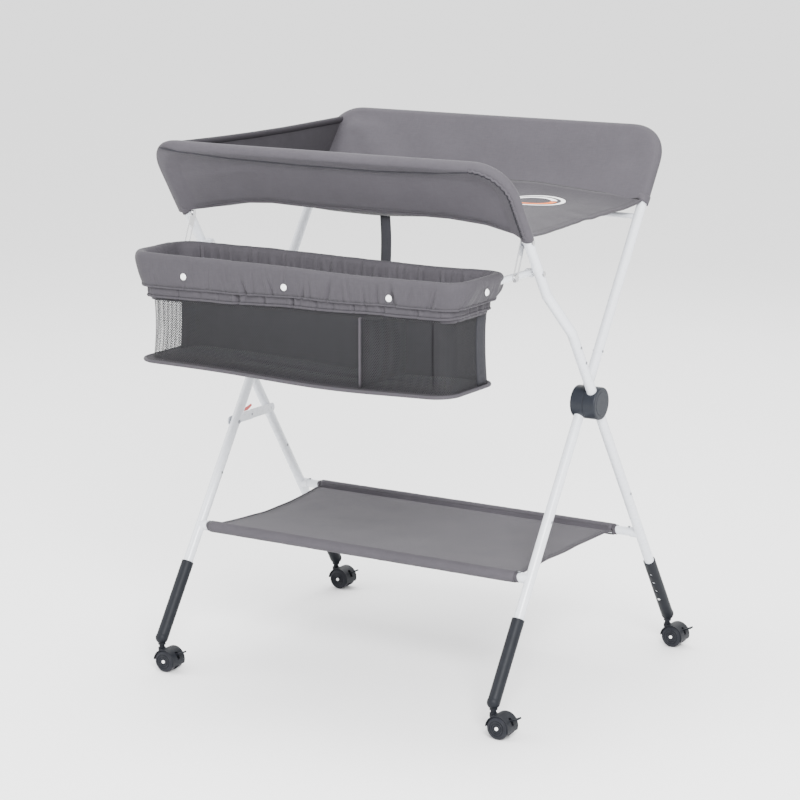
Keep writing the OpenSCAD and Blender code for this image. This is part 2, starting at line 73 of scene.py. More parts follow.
def on_frame(k, x, n, s):
    """A point by a top frame's own plane: x along, n outward, s up the tube from the hub, in millimetres.

    k is 1 for the rear top and -1 for the front top."""
    return at(x, k * (n * COS + s * SIN), HUB.z * 1000 - n * SIN + s * COS)


# ---- camera ----
cam_data = bpy.data.cameras.new("camera")
cam_data.lens = 114.64
cam_data.sensor_width = 36
cam_data.clip_end = 60
camera = bpy.data.objects.new("camera", cam_data)
bpy.context.scene.collection.objects.link(camera)
eye = at(2374.67, -3900.99, 1462.47)
target = at(-28.5, 0, 484.4)
camera.location = eye
camera.rotation_euler = (target - eye).to_track_quat("-Z", "Y").to_euler()
bpy.context.scene.camera = camera


# ---- materials ----
def new_material(name):
    m = bpy.data.materials.new(name)
    m.use_nodes = True
    nt = m.node_tree
    return m, nt, nt.nodes["Principled BSDF"]


def object_coords(nt, scale=(1, 1, 1)):
    tc = nt.nodes.new("ShaderNodeTexCoord")
    mp = nt.nodes.new("ShaderNodeMapping")
    mp.inputs["Scale"].default_value = scale
    nt.links.new(tc.outputs["Object"], mp.inputs["Vector"])
    return mp.outputs["Vector"]


def noise_node(nt, vec, scale, detail=3.0, rough=0.55):
    n = nt.nodes.new("ShaderNodeTexNoise")
    n.inputs["Scale"].default_value = scale
    n.inputs["Detail"].default_value = detail
    n.inputs["Roughness"].default_value = rough
    nt.links.new(vec, n.inputs["Vector"])
    return n.outputs["Fac"]


def ramp(nt, fac, a, b, lo=0.3, hi=0.7):
    r = nt.nodes.new("ShaderNodeValToRGB")
    r.color_ramp.elements[0].position = lo
    r.color_ramp.elements[1].position = hi
    r.color_ramp.elements[0].color = (*a, 1)
    r.color_ramp.elements[1].color = (*b, 1)
    nt.links.new(fac, r.inputs["Fac"])
    return r.outputs["Color"]


def math_node(nt, op, a, b=None):
    n = nt.nodes.new("ShaderNodeMath")
    n.operation = op
    for i, v in enumerate((a, b)):
        if v is None:
            continue
        if isinstance(v, (int, float)):
            n.inputs[i].default_value = v
        else:
            nt.links.new(v, n.inputs[i])
    return n.outputs[0]


def bump(nt, bsdf, height, strength, distance):
    b = nt.nodes.new("ShaderNodeBump")
    b.inputs["Strength"].default_value = strength
    b.inputs["Distance"].default_value = distance
    nt.links.new(height, b.inputs["Height"])
    nt.links.new(b.outputs["Normal"], bsdf.inputs["Normal"])


def shade(c, f):
    return tuple(min(1.0, v * f) for v in c)


def solid_material(name, colour, rough=0.4, metallic=0.0, vary=0.06, scale=60, grain=900,
                   grain_strength=0.12, coat=0.0, rough_vary=0.08, specular=0.5):
    m, nt, bsdf = new_material(name)
    vec = object_coords(nt)
    base = ramp(nt, noise_node(nt, vec, scale, 4), shade(colour, 1 - vary), shade(colour, 1 + vary))
    nt.links.new(base, bsdf.inputs["Base Color"])
    r = nt.nodes.new("ShaderNodeMapRange")
    r.inputs["To Min"].default_value = rough - rough_vary
    r.inputs["To Max"].default_value = rough + rough_vary
    nt.links.new(noise_node(nt, vec, scale * 2.3, 3), r.inputs["Value"])
    nt.links.new(r.outputs["Result"], bsdf.inputs["Roughness"])
    bsdf.inputs["Metallic"].default_value = metallic
    bsdf.inputs["Specular IOR Level"].default_value = specular
    bsdf.inputs["Coat Weight"].default_value = coat
    bsdf.inputs["Coat Roughness"].default_value = 0.12
    bump(nt, bsdf, noise_node(nt, vec, grain, 2), grain_strength, 0.0004)
    return m


def wave(nt, vec, direction, scale):
    w = nt.nodes.new("ShaderNodeTexWave")
    w.bands_direction = direction
    w.inputs["Scale"].default_value = scale
    w.inputs["Distortion"].default_value = 0.6
    w.inputs["Detail"].default_value = 1.0
    nt.links.new(vec, w.inputs["Vector"])
    return w.outputs["Fac"]


def fabric_material(name, colour, rough=0.72, sheen=0.06, weave=0.35, mottle=0.10):
    """Plain-weave polyester: crossed yarns about 0.7 mm apart, heather mottling and a faint sheen."""
    m, nt, bsdf = new_material(name)
    vec = object_coords(nt)
    yarn = noise_node(nt, object_coords(nt, (900, 70, 70)), 1.0, 3)
    cross = noise_node(nt, object_coords(nt, (70, 500, 500)), 1.0, 3)
    cloud = noise_node(nt, vec, 14, 3)
    mix = math_node(nt, "ADD", math_node(nt, "MULTIPLY", math_node(nt, "ADD", yarn, cross), 0.34),
                    math_node(nt, "MULTIPLY", cloud, 0.32))
    base = ramp(nt, mix, shade(colour, 1 - mottle), shade(colour, 1 + mottle), 0.36, 0.64)
    nt.links.new(base, bsdf.inputs["Base Color"])
    bsdf.inputs["Roughness"].default_value = rough
    bsdf.inputs["Sheen Weight"].default_value = sheen
    bsdf.inputs["Sheen Roughness"].default_value = 0.4
    bsdf.inputs["Specular IOR Level"].default_value = 0.12
    warp = wave(nt, vec, "X", 450)
    weft = math_node(nt, "ADD", wave(nt, vec, "Z", 450), wave(nt, vec, "Y", 450))
    height = math_node(nt, "ADD", math_node(nt, "MULTIPLY", warp, 0.6),
                       math_node(nt, "MULTIPLY", weft, 0.3))
    height = math_node(nt, "ADD", height, math_node(nt, "MULTIPLY", noise_node(nt, vec, 220, 3), 0.8))
    bump(nt, bsdf, height, weave, 0.0004)
    return m


GREY = (0.057, 0.053, 0.061)
fabric = fabric_material("tray_fabric", GREY)
fabric_dark = fabric_material("lining_fabric", (0.022, 0.020, 0.024), sheen=0.03)
hem_fabric = fabric_material("hem_fabric", shade(GREY, 0.82), weave=0.5)
# painted shade: the same grey tray fabric darkened to 0.74 of its colour, for the shade that falls on the floor
# inside the tray
floor_fabric_painted_shade = fabric_material("floor_fabric_painted_shade", shade(GREY, 0.74))
# painted shade: the same grey tray fabric darkened to 0.78 of its colour, for the shade on the basket's band under
# the tray
band_fabric_painted_shade = fabric_material("band_fabric_painted_shade", shade(GREY, 0.78))
lining = fabric_material("wall_lining", shade(GREY, 0.55), sheen=0.03)
print_white = solid_material("print_white", (0.80, 0.80, 0.80), rough=0.6, vary=0.03, grain=900,
                             grain_strength=0.2)
print_orange = solid_material("print_orange", (0.75, 0.15, 0.01), rough=0.6, vary=0.04, grain=900,
                              grain_strength=0.2)
binding = fabric_material("black_binding", (0.022, 0.022, 0.026), rough=0.8, sheen=0.03, weave=0.6)
net_thread = solid_material("net_thread", (0.022, 0.022, 0.024), specular=0.15, rough=0.6,
                            grain_strength=0.05)
thread = solid_material("stitch_thread", shade(GREY, 0.45), rough=0.7, grain=2500)
white_paint = solid_material("white_paint", (0.60, 0.62, 0.66), rough=0.28, vary=0.015, grain=700,
                             grain_strength=0.05, coat=0.35, rough_vary=0.05)
hub_plastic = solid_material("hub_plastic", (0.014, 0.016, 0.021), specular=0.16, rough=0.45, vary=0.08,
                             grain=1400, grain_strength=0.16)
dark_plastic = solid_material("dark_plastic", (0.010, 0.011, 0.014), specular=0.12, rough=0.5, vary=0.10,
                              grain=1400, grain_strength=0.16)
wheel_plastic = solid_material("wheel_plastic", (0.013, 0.014, 0.018), specular=0.16, rough=0.45,
                               vary=0.10, grain=1200, grain_strength=0.12)
bright_steel = solid_material("bright_steel", (0.62, 0.62, 0.63), rough=0.30, metallic=1.0, vary=0.06,
                              grain=1800, grain_strength=0.08)
dark_steel = solid_material("dark_steel", (0.20, 0.21, 0.23), rough=0.36, metallic=0.9, vary=0.10,
                            grain=1600, grain_strength=0.1)
red_plastic = solid_material("red_plastic", (0.52, 0.035, 0.03), rough=0.35, vary=0.08, grain=1200,
                             grain_strength=0.1)
snap_white = solid_material("snap_white", (0.86, 0.86, 0.86), rough=0.22, vary=0.02, grain=900,
                            grain_strength=0.04, coat=0.3)
FINISH = {"white_tube": white_paint, "hub_plastic": hub_plastic, "dark_plastic": dark_plastic,
          "wheel_plastic": wheel_plastic, "bright_steel": bright_steel, "dark_steel": dark_steel,
          "red_plastic": red_plastic, "snap_plastic": snap_white,
          "grey_fabric": fabric}
for part in record["subparts"]:
    o = nodes[part["node"]]
    o.data.materials.clear()
    o.data.materials.append(FINISH[part["material_slot"]])


# ---- mesh helpers ----
def make_mesh(name, verts, faces, material, smooth=True):
    me = bpy.data.meshes.new(name)
    me.from_pydata([tuple(v) for v in verts], [], faces)
    me.update()
    o = bpy.data.objects.new(name, me)
    bpy.context.scene.collection.objects.link(o)
    me.materials.append(material)
    if smooth:
        for p in me.polygons:
            p.use_smooth = True
    return o


def grid_faces(nu, nv, close_u=False, close_v=False, base=0):
    """Faces of a grid of nu by nv points, u running slowest."""
    out = []
    for i in range(nu if close_u else nu - 1):
        for j in range(nv if close_v else nv - 1):
            a, b = i * nv + j, i * nv + (j + 1) % nv
            c, d = ((i + 1) % nu) * nv + (j + 1) % nv, ((i + 1) % nu) * nv + j
            out.append((base + a, base + b, base + c, base + d))
    return out


def thicken(o, thickness, offset=0.0):
    mod = o.modifiers.new("cloth_thickness", "SOLIDIFY")
    mod.thickness = thickness
    mod.offset = offset
    mod.use_even_offset = False
    return o


def subdivide(o, levels=1):
    mod = o.modifiers.new("smooth", "SUBSURF")
    mod.levels = mod.render_levels = levels
    return o


def tube(name, points, radius, material, closed=False, sides=8, flat=1.0):
    """A round or flattened tube along points; radius may be a list."""
    n = len(points)
    verts, faces = [], []
    up = None
    for i, p in enumerate(points):
        a = points[(i - 1) % n] if closed or i else points[i]
        b = points[(i + 1) % n] if closed or i < n - 1 else points[i]
        t = (b - a).normalized()
        if up is None:
            up = Vector((0, 0, 1)) if abs(t.z) < 0.9 else Vector((1, 0, 0))
        side = t.cross(up).normalized()
        up = side.cross(t).normalized()
        r = radius[i] if isinstance(radius, (list, tuple)) else radius
        for k in range(sides):
            ang = 2 * math.pi * k / sides
            verts.append(p + side * (r * math.cos(ang)) + up * (r * flat * math.sin(ang)))
    faces = grid_faces(n, sides, close_u=closed, close_v=True)
    if not closed:
        faces.append(tuple(range(sides))[::-1])
        faces.append(tuple(range((n - 1) * sides, n * sides)))
    return make_mesh(name, verts, faces, material)


def resample(points, step):
    """Points a step apart along a line."""
    out, carry = [points[0].copy()], 0.0
    for a, b in zip(points, points[1:]):
        d = (b - a).length
        pos = step - carry
        while pos <= d:
            out.append(a.lerp(b, pos / d))
            pos += step
        carry = d - (pos - step)
    return out


def stitches(name, points, normals_out, material, length=0.0034, gap=0.0022, r=0.00045, lift=0.0003):
    """A row of sewn stitches along a line of points, each a short low bar.

    normals_out(point) lifts them off the cloth."""
    line = resample(points, length + gap)
    verts, faces = [], []
    for a, b in zip(line, line[1:]):
        t = (b - a).normalized()
        n = normals_out(a)
        s = t.cross(n).normalized()
        p0, p1 = a + n * lift, a + t * length + n * lift
        base = len(verts)
        mid = (p0 + p1) / 2 + n * r * 1.3
        verts += [p0 - s * r, p0 + s * r, mid - s * r, mid + s * r, p1 - s * r, p1 + s * r,
                  mid - s * r * 0.6 - n * r, mid + s * r * 0.6 - n * r]
        faces += [(base, base + 1, base + 3, base + 2), (base + 2, base + 3, base + 5, base + 4),
                  (base, base + 2, base + 6), (base + 2, base + 4, base + 6),
                  (base + 1, base + 7, base + 3), (base + 3, base + 7, base + 5),
                  (base, base + 6, base + 7, base + 1), (base + 4, base + 5, base + 7, base + 6)]
    return make_mesh(name, verts, faces, material, smooth=False)


def smoothstep(x, a=0.0, b=1.0):
    t = min(1.0, max(0.0, (x - a) / (b - a)))
    return t * t * (3 - 2 * t)


def through(x, table):
    """Straight-line interpolation through (x, value) pairs."""
    if x <= table[0][0]:
        return table[0][1]
    for (x0, v0), (x1, v1) in zip(table, table[1:]):
        if x <= x1:
            t = (x - x0) / (x1 - x0)
            return v0 + (v1 - v0) * t
    return table[-1][1]


def fold(p, scale, seed, stretch=(1, 1, 1)):
    """Wrinkle noise from -1 to 1."""
    return noise.noise(Vector((p[0] * stretch[0] / scale + seed * 7.3,
                               p[1] * stretch[1] / scale + seed * 3.1,
                               p[2] * stretch[2] / scale)))


# ---- tray walls: a fabric sleeve pulled over each top rail ----
def rail_path(k, n_leg=9, n_arc=9, n_top=70):
    """Samples (x, s, inward x, inward s) of a top rail's axis from the left hem to the right hem.

    Also gives the s of the rail, and the counts of samples in a leg, in a bend and along the top."""
    node = "rear_top_rail" if k > 0 else "front_top_rail"
    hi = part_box(node)[1]
    s_rail = ((hi.z - 0.009 - HUB.z) / COS) * 1000
    bend, half = BEND, HALF * 1000
    pts = []
    low = WALL_LOW[k]
    for i in range(n_leg):
        t = i / n_leg
        pts.append((-half, low[0] + (s_rail - bend - low[0]) * t, 1, 0))
    for i in range(n_arc):
        a = math.pi / 2 * i / n_arc
        pts.append((-half + bend - bend * math.cos(a), s_rail - bend + bend * math.sin(a), math.cos(a),
                    -math.sin(a)))
    for i in range(n_top + 1):
        pts.append((-half + bend + (2 * half - 2 * bend) * i / n_top, s_rail, 0, -1))
    for i in range(1, n_arc + 1):
        a = math.pi / 2 * (1 - i / n_arc)
        pts.append((half - bend + bend * math.cos(a), s_rail - bend + bend * math.sin(a), -math.cos(a),
                    -math.sin(a)))
    for i in range(1, n_leg + 1):
        t = i / n_leg
        pts.append((half, s_rail - bend + (low[1] - s_rail + bend) * t, -1, 0))
    return pts, s_rail, n_leg, n_arc, n_top


# A hem's table gives its distance in millimetres up the frame from the hub, at places along the wall.
def hem_front(x):
    return through(x, [(-372, 376), (-350, 380), (-300, 390), (-250, 402), (-200, 411), (-150, 415),
                       (-100, 413), (-50, 411.5), (0, 412.5), (50, 413), (100, 413.5),
                       (150, 413.5), (212, 413), (280, 406), (347, 385), (372, 380)])


def hem_rear(x):
    return through(x, [(-372, 384), (-200, 388), (0, 390), (250, 392), (330, 396), (372, 402)])


WALL_LOW = {-1: (hem_front(-350), hem_front(350)), 1: (hem_rear(-350), hem_rear(350))}
HEM = {-1: hem_front, 1: hem_rear}
EDGE = {-1: lambda x: through(x, [(-350, 19), (-300, 13), (-200, 11.8), (200, 11.2), (350, 12.5)]),
        1: lambda x: through(x, [(-350, 12.5), (0, 11.6), (350, 11.2)])}
BEND = 60.0         # radius of the top rails' bends
RIM = 10.4          # radius of the fabric round the rail
SEAM_DEPTH = 27.0   # the outer face has sloped down to the flat cloth this far in
FLAT_HALF = 1.3     # half thickness of the flat cloth
INNER = 46.0        # the roll round the rail has flattened out this far in


def corner_pull(k, i, n_leg, n_arc, n):
    """How far past the rail's bend the cloth's corner stands out, pulled by the end wall at the left."""
    q = min(i, n - 1 - i) - n_leg
    if not 0 <= q <= n_arc:
        return 0.0
    left = i < n / 2
    pull = {(-1, True): 8.0, (1, True): 5.0, (-1, False): 2.0, (1, False): 2.0}[k, left]
    return pull * math.sin(math.pi * q / n_arc) ** 1.5


def wall_point(k, x, s, layer, d, edge=None):
    """Half thickness of the wall at a point d millimetres inward from the rail's axis."""
    edge = edge or EDGE[k](x)
    if d <= 0:
        return RIM * math.sqrt(max(0.0, 1 - (d / edge) ** 2))
    flat = FLAT_HALF
    if layer < 0:                                      # the inner face runs taut from the rail to the floor
        return flat + (RIM - flat) * (1 - min(1.0, d / 105)) ** 1.15
    seam = SEAM_DEPTH
    tangent = RIM * math.cos(math.asin(min(1, d / 60)))
    slope_line = RIM + (flat - RIM) * min(1.0, d / seam) ** 0.9
    h = slope_line if d < seam else flat
    return max(flat, min(h, tangent))


def build_wall(name, k, body, seed):
    pts, s_rail, n_leg, n_arc, n_top = rail_path(k)
    n = len(pts)
    depths = [-1.0, -0.92, -0.75, -0.5, -0.25]         # shares of the outer edge
    inward = [0, 4, 8, 13, 18, 22, 27, 33, 40, INNER]  # millimetres
    half_arc = n_arc // 2
    left_end = n_leg + half_arc                        # the corner sample of the inner patch, left
    right_start = n - 1 - left_end
    verts, faces = [], []

    def height(x, s, d, layer, edge=None):
        h = wall_point(k, x, s, layer, d, edge)
        w = 0.0
        if d > 8:
            span = smoothstep(d, 8, 40)
            corner = max(math.exp(-((abs(x) - 345) / 70) ** 2), 0.25)
            w += 2.2 * span * corner * fold((x, s, 0), 55, seed, (1, 0.45, 1))
            w += 1.1 * span * fold((x, s, 5), 24, seed + 1, (1, 0.5, 1)) * corner
            w += 1.6 * smoothstep(d, 20, 60) * fold((x, s, 9), 170, seed + 2)
        if k > 0 and layer < 0 and d > 0:
            reach = (x + 350) - 0.9 * (640 - s)
            w -= 9.0 * smoothstep(-reach, -30, 70) * smoothstep(d, 6, 40) * smoothstep(s, 380, 430)
        ridge = abs((s - 470) - (x + 250) * 0.22) if k < 0 and layer > 0 else 99
        w += 1.3 * math.exp(-(ridge / 7) ** 2) * smoothstep(-x, 60, 250) * smoothstep(d, 10, 35)
        near_rail = math.exp(-((d - 14) / 12) ** 2)
        w += 0.55 * near_rail * fold((x, s, 3), 9, seed + 4, (1, 0.25, 1))
        return h, w

    def put(x, s, d, layer, edge=None):
        h, w = height(x, s, d, layer, edge)
        verts.append(on_frame(k, x, layer * h + w, s))

    index = {}
    for layer in (1, -1):
        for i, (x, s, ix, isn) in enumerate(pts):
            edge = EDGE[k](x)
            ease = 1 - min(i, n - 1 - i) / n_leg if min(i, n - 1 - i) < n_leg else 0.0
            sharp = corner_pull(k, i, n_leg, n_arc, n)
            for j, d in enumerate([sh * (edge + sharp) for sh in depths] + inward):
                index[layer, i, j] = len(verts)
                px, ps = x + ix * d, s + isn * d
                ps += (HEM[k](px) - HEM[k](x)) * ease
                put(px, ps, d, layer, edge + sharp)
    rows = len(depths) + len(inward)
    for layer in (1, -1):
        for i in range(n - 1):
            for j in range(rows - 1):
                f = (index[layer, i, j], index[layer, i, j + 1], index[layer, i + 1, j + 1],
                     index[layer, i + 1, j])
                faces.append(f if layer > 0 else f[::-1])
    # the inner patch, between the two side bands, the top band and the hem
    inner = [(pts[i][0] + pts[i][2] * INNER, pts[i][1] + pts[i][3] * INNER) for i in range(n)]
    n_row, n_col = left_end, right_start - left_end
    top = inner[left_end:right_start + 1]
    left, right = inner[:left_end + 1], inner[right_start:][::-1]
    bottom = [(left[0][0] + (right[0][0] - left[0][0]) * c / n_col, 0) for c in range(n_col + 1)]
    bottom = [(x, HEM[k](x)) for x, _ in bottom]
    patch = {}
    for layer in (1, -1):
        for c in range(n_col + 1):
            for r in range(n_row + 1):
                if r == n_row:
                    patch[layer, c, r] = index[layer, left_end + c, rows - 1]
                    continue
                if c == 0:
                    patch[layer, c, r] = index[layer, r, rows - 1]
                    continue
                if c == n_col:
                    patch[layer, c, r] = index[layer, n - 1 - r, rows - 1]
                    continue
                u, v = c / n_col, r / n_row
                px = [0.0, 0.0]
                for q in (0, 1):
                    px[q] = ((1 - v) * bottom[c][q] + v * top[c][q] + (1 - u) * left[r][q] + u * right[r][q]
                             - ((1 - u) * (1 - v) * left[0][q] + u * (1 - v) * right[0][q]
                                + (1 - u) * v * top[0][q] + u * v * top[-1][q]))
                d = min(s_rail - px[1], HALF * 1000 - abs(px[0]))
                patch[layer, c, r] = len(verts)
                put(px[0], px[1], d, layer)
        for c in range(n_col):
            for r in range(n_row):
                f = (patch[layer, c, r], patch[layer, c + 1, r], patch[layer, c + 1, r + 1],
                     patch[layer, c, r + 1])
                faces.append(f[::-1] if layer > 0 else f)
    # join the two layers along the silhouette and along the hem
    for i in range(n - 1):
        faces.append((index[1, i, 0], index[1, i + 1, 0], index[-1, i + 1, 0], index[-1, i, 0]))
    for c in range(n_col):
        faces.append((patch[1, c, 0], patch[-1, c, 0], patch[-1, c + 1, 0], patch[1, c + 1, 0]))
    o = make_mesh(name, verts, faces, fabric)
    bm = bmesh.new()
    bm.from_mesh(o.data)
    bmesh.ops.remove_doubles(bm, verts=bm.verts, dist=0.00005)
    bmesh.ops.recalc_face_normals(bm, faces=bm.faces)
    bm.to_mesh(o.data)
    bm.free()
    for p in o.data.polygons:
        p.use_smooth = True
    subdivide(o, 1)
    return o, s_rail


front_wall, front_rail = build_wall("tray_front_wall", -1, "front_frame", 1)
rear_wall, rear_rail = build_wall("tray_rear_wall", 1, "rear_frame", 2)
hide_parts("front_wall")
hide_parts("rear_wall")
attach(front_wall, "front_frame")
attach(rear_wall, "rear_frame")
OUT = {k: Vector((0, k * COS, -SIN)) for k in (1, -1)}


def xs(a, b, n):
    return [a + (b - a) * i / n for i in range(n + 1)]


def outer_face(k, x, s, d, lift=0.5):
    """A point on a wall's outer face."""
    return on_frame(k, x, wall_point(k, x, s, 1, d) + lift, s)


def seam_drop(k, x):
    """How far below the rail's axis the roll's seam runs."""
    table = [(-345, -6), (-300, 2), (-200, 12), (-60, 17), (100, 18), (220, 11),
             (288, 1)] if k < 0 else [(-320, 6), (-200, 14), (200, 14), (320, 6)]
    return through(x, table)


for k, name, body, rail in ((-1, "front", "front_frame", front_rail), (1, "rear", "rear_frame", rear_rail)):
    pieces = [tube("tray_%s_hem" % name, [on_frame(k, x, 0, HEM[k](x)) for x in xs(-352, 352, 70)], 0.0026,
                   hem_fabric, sides=8)]
    for row, inset in enumerate((4.5, 9.5)):
        pieces.append(stitches("tray_%s_hem_stitch_%d" % (name, row),
                               [on_frame(k, x, 2.0, HEM[k](x) + inset) for x in xs(-340, 340, 120)],
                               lambda p, k=k: OUT[k], thread))
    across = xs(-340, 288, 150) if k < 0 else xs(-300, 300, 140)
    seam = [outer_face(k, x, rail - seam_drop(k, x), seam_drop(k, x), 0.2 + 0.5 * fold((x, 0, 0), 22, 5))
            for x in across]
    pieces.append(tube("tray_%s_seam" % name, seam, 0.0014, binding, sides=6))
    pieces.append(stitches("tray_%s_seam_stitch" % name,
                           [p + Vector((0, 0, -0.0035)) + OUT[k] * 0.0004 for p in seam],
                           lambda p, k=k: OUT[k], thread))
    # the gathered seam inside the right bend
    bend, half = BEND, HALF * 1000
    gather, ruffle = [], []
    for i in range(61):
        a = math.pi / 2 * (1 - i / 24) if i <= 24 else 0.0
        run = max(0, i - 24) / 36
        d = 1.5 + 1.2 * math.sin(i * 2.4)
        gx = half - bend + (bend - d) * math.cos(a)
        gs = rail - bend + (bend - d) * math.sin(a) - run * (rail - bend - HEM[k](half) - 4)
        lift = 0.5 + 0.9 * math.sin(i * 2.4)
        gather.append(outer_face(k, gx, gs, d, lift))
        ruffle.append(outer_face(k, gx + 4 * math.cos(a), gs + 4 * math.sin(a), d - 4,
                                 0.3 + 0.7 * math.sin(i * 2.4 + 0.8)))
    pieces.append(tube("tray_%s_gather" % name, gather, 0.0016, binding, sides=6))
    pieces.append(tube("tray_%s_gather_edge" % name, ruffle, 0.0024, fabric, sides=6))
    for o in pieces:
        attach(o, body)


# ---- tray floor and end wall ----
def crease(k, x):
    """Where the floor meets a wall's inner layer; at the rear it climbs away from the corners."""
    climb = through(x, [(-350, 4), (-250, 18), (-50, 27), (130, 26), (290, 11), (350, 2)]) if k > 0 else 2
    return on_frame(k, x, -2.0 - 0.035 * climb, HEM[k](x) + climb)


def floor_point(u, v, seed=11):
    """u from the left end to the right, v from the front to the rear."""
    x = -343 + u * (695 - 10 * math.sin(math.pi * v) ** 0.8)
    a, b = crease(-1, x), crease(1, x)
    p = a.lerp(b, v)
    v = min(1.0, max(0.0, v))
    deep = 9.0 + 13.0 * math.exp(-((u - 0.53) / 0.22) ** 2)
    sag = deep * (1 - abs(2 * v - 1) ** 6)
    near_end = math.exp(-((1 - u) / 0.10) ** 2) + 0.5 * math.exp(-(u / 0.08) ** 2)
    w = 1.5 * fold((u * 700, v * 400, 0), 80, seed) * math.sin(math.pi * v)
    w += 1.8 * near_end * fold((u * 700, v * 400, 4), 30, seed + 1, (0.35, 1, 1)) * math.sin(math.pi * v)
    p.z += (-sag + w) / 1000
    return p


n_u, n_v = 110, 48
verts = [floor_point(i / n_u, j / n_v) for i in range(n_u + 1) for j in range(n_v + 1)]
tray_floor = make_mesh("tray_floor", verts, grid_faces(n_u + 1, n_v + 1), floor_fabric_painted_shade)
thicken(tray_floor, 0.0022)
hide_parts("bed_floor")


def end_point(u, v, seed=21):
    """The left end wall: u from the front to the rear, v from the floor up."""
    low = floor_point(0.0, u)
    a = on_frame(-1, -341, -2, front_rail - 2)
    b = on_frame(1, -336, -2, rear_rail - 16)
    top = a.lerp(b, u)
    top.z -= 0.004 * math.sin(math.pi * u)
    p = low.lerp(top, v)
    bulge = 7.0 * math.sin(math.pi * u) * math.sin(math.pi * min(1, v * 0.9))
    p.x += (bulge + 2.5 * fold((u * 500, v * 130, 0), 60, seed) * math.sin(math.pi * u)) / 1000
    return p


n_u, n_v = 60, 18
verts = [end_point(i / n_u, j / n_v) for i in range(n_u + 1) for j in range(n_v + 1)]
tray_end = make_mesh("tray_end_wall", verts, grid_faces(n_u + 1, n_v + 1), lining)
thicken(tray_end, 0.0024)
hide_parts("end_wall")
end_binding = tube("tray_end_binding", [end_point(i / 60, 1.0) for i in range(61)], 0.0052, fabric_dark,
                   sides=10, flat=1.2)
floor_binding = tube("tray_floor_binding", [floor_point(1.0, j / 60) for j in range(61)], 0.0028,
                     hem_fabric, sides=8)
floor_stitch = stitches("tray_floor_stitch", [floor_point(0.985, j / 90) + Vector((0, 0, 0.0012))
                                              for j in range(91)], lambda p: Vector((0, 0, 1)), thread)


def floor_print(name, u0, v0, r0, r1, a0, a1, material):
    """A flat printed arc lying on the floor cloth; radii in millimetres."""
    verts = []
    n = 36
    for i in range(n + 1):
        a = math.radians(a0 + (a1 - a0) * i / n)
        for r in (r0, (r0 + r1) / 2, r1):
            verts.append(floor_point(u0 + r * math.cos(a) / 690, v0 + r * math.sin(a) / 445)
                         + Vector((0, 0, 0.0016)))
    return make_mesh(name, verts, grid_faces(n + 1, 3), material)


prints = [floor_print("floor_print_ring", 0.775, 0.72, 52, 60, 0, 360, print_white),
          floor_print("floor_print_arc", 0.775, 0.72, 34, 45, 200, 380, print_orange),
          floor_print("floor_print_inner_arc", 0.775, 0.72, 34, 45, 30, 180, print_white)]
# cuffs where the side tubes leave the walls' cloth
for k, wall_name, body in ((-1, "front", "front_frame"), (1, "rear", "rear_frame")):
    for side_name, sign in (("left", -1), ("right", 1)):
        vs = []
        x0 = sign * HALF * 1000
        for i in range(24):
            a = 2 * math.pi * i / 24
            for q in range(4):
                r = 10.9 + 0.35 * math.sin(3 * a + q)
                low = 5 + 4 * math.cos(a) * sign
                vs.append(on_frame(k, x0 + r * math.cos(a), r * math.sin(a),
                                   HEM[k](x0) + 8 - (8 + low) * q / 3))
        cuff = make_mesh("tray_cuff_%s_%s" % (wall_name, side_name), vs, grid_faces(24, 4, close_u=True),
                         fabric)
        thicken(cuff, 0.0010, 1)
        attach(cuff, body)
crease_seam = tube("tray_rear_crease", [crease(1, x) + Vector((0, -0.0006, 0.0008))
                                        for x in xs(-338, 338, 80)], 0.0011, thread, sides=6)
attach(crease_seam, "rear_frame")
for o in [tray_floor, tray_end, end_binding, floor_binding, floor_stitch] + prints:
    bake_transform(o)


# ---- shelf: a sheet with a sleeve round each rail ----
SHELF_Y, SHELF_Z, SHELF_R = 186.7, 245.5, 10.2
SLEEVE_STEPS = 13     # steps of the profile round each rail


def shelf_profile():
    """(y, z) of the sheet's section, from round the front rail to round the rear rail."""
    out = []
    for i in range(SLEEVE_STEPS + 1):
        a = math.radians(-80 - 290 * i / SLEEVE_STEPS)
        out.append((-SHELF_Y + SHELF_R * math.cos(a), SHELF_Z + SHELF_R * math.sin(a)))
    back = [(-y, z) for y, z in out[::-1]]
    a, b = out[-1], back[0]
    middle = []
    for i in range(1, 40):
        t = i / 40
        y = a[0] + (b[0] - a[0]) * t
        edge = min(y - a[0], b[0] - y)
        middle.append((y, a[1] + 2.8 * smoothstep(edge, 0, 14) - 5.5 * math.sin(math.pi * t) ** 1.1))
    return out + middle + back


profile = shelf_profile()
n_x = 96
verts = []
for i in range(n_x + 1):
    u = i / n_x
    for y, z in profile:
        v = (y + SHELF_Y) / (2 * SHELF_Y)
        inside = max(0.0, math.sin(math.pi * min(1, max(0, v))))
        x0, x1 = -324 + 15 * inside ** 0.8, 322 - 15 * inside ** 0.8
        x = x0 + (x1 - x0) * u
        w = (1.1 * inside * fold((x, y, 0), 70, 31)
             + 1.3 * inside * math.exp(-(min(u, 1 - u) / 0.06) ** 2) * fold((x, y, 3), 26, 32, (1, 0.4, 1)))
        ripple = 0.35 * fold((x, y, 7), 10, 33, (1, 0.3, 1)) if inside < 0.12 else 0
        verts.append(at(x, y, z + w + ripple))
shelf = make_mesh("shelf_sheet_cloth", verts, grid_faces(n_x + 1, len(profile)), fabric)
thicken(shelf, 0.0012)
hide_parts("shelf_sheet")
mid_row = list(range(SLEEVE_STEPS, len(profile) - SLEEVE_STEPS))


def shelf_top(u, j):
    return verts[int(round(u * n_x)) * len(profile) + j]


def top_row(y):
    """The profile's point nearest to y on the top of the sheet."""
    off_top = {q: 0 if profile[q][1] > 250 else 99 for q in range(len(profile))}
    return min(range(len(profile)), key=lambda q: abs(profile[q][0] - y) + off_top[q])


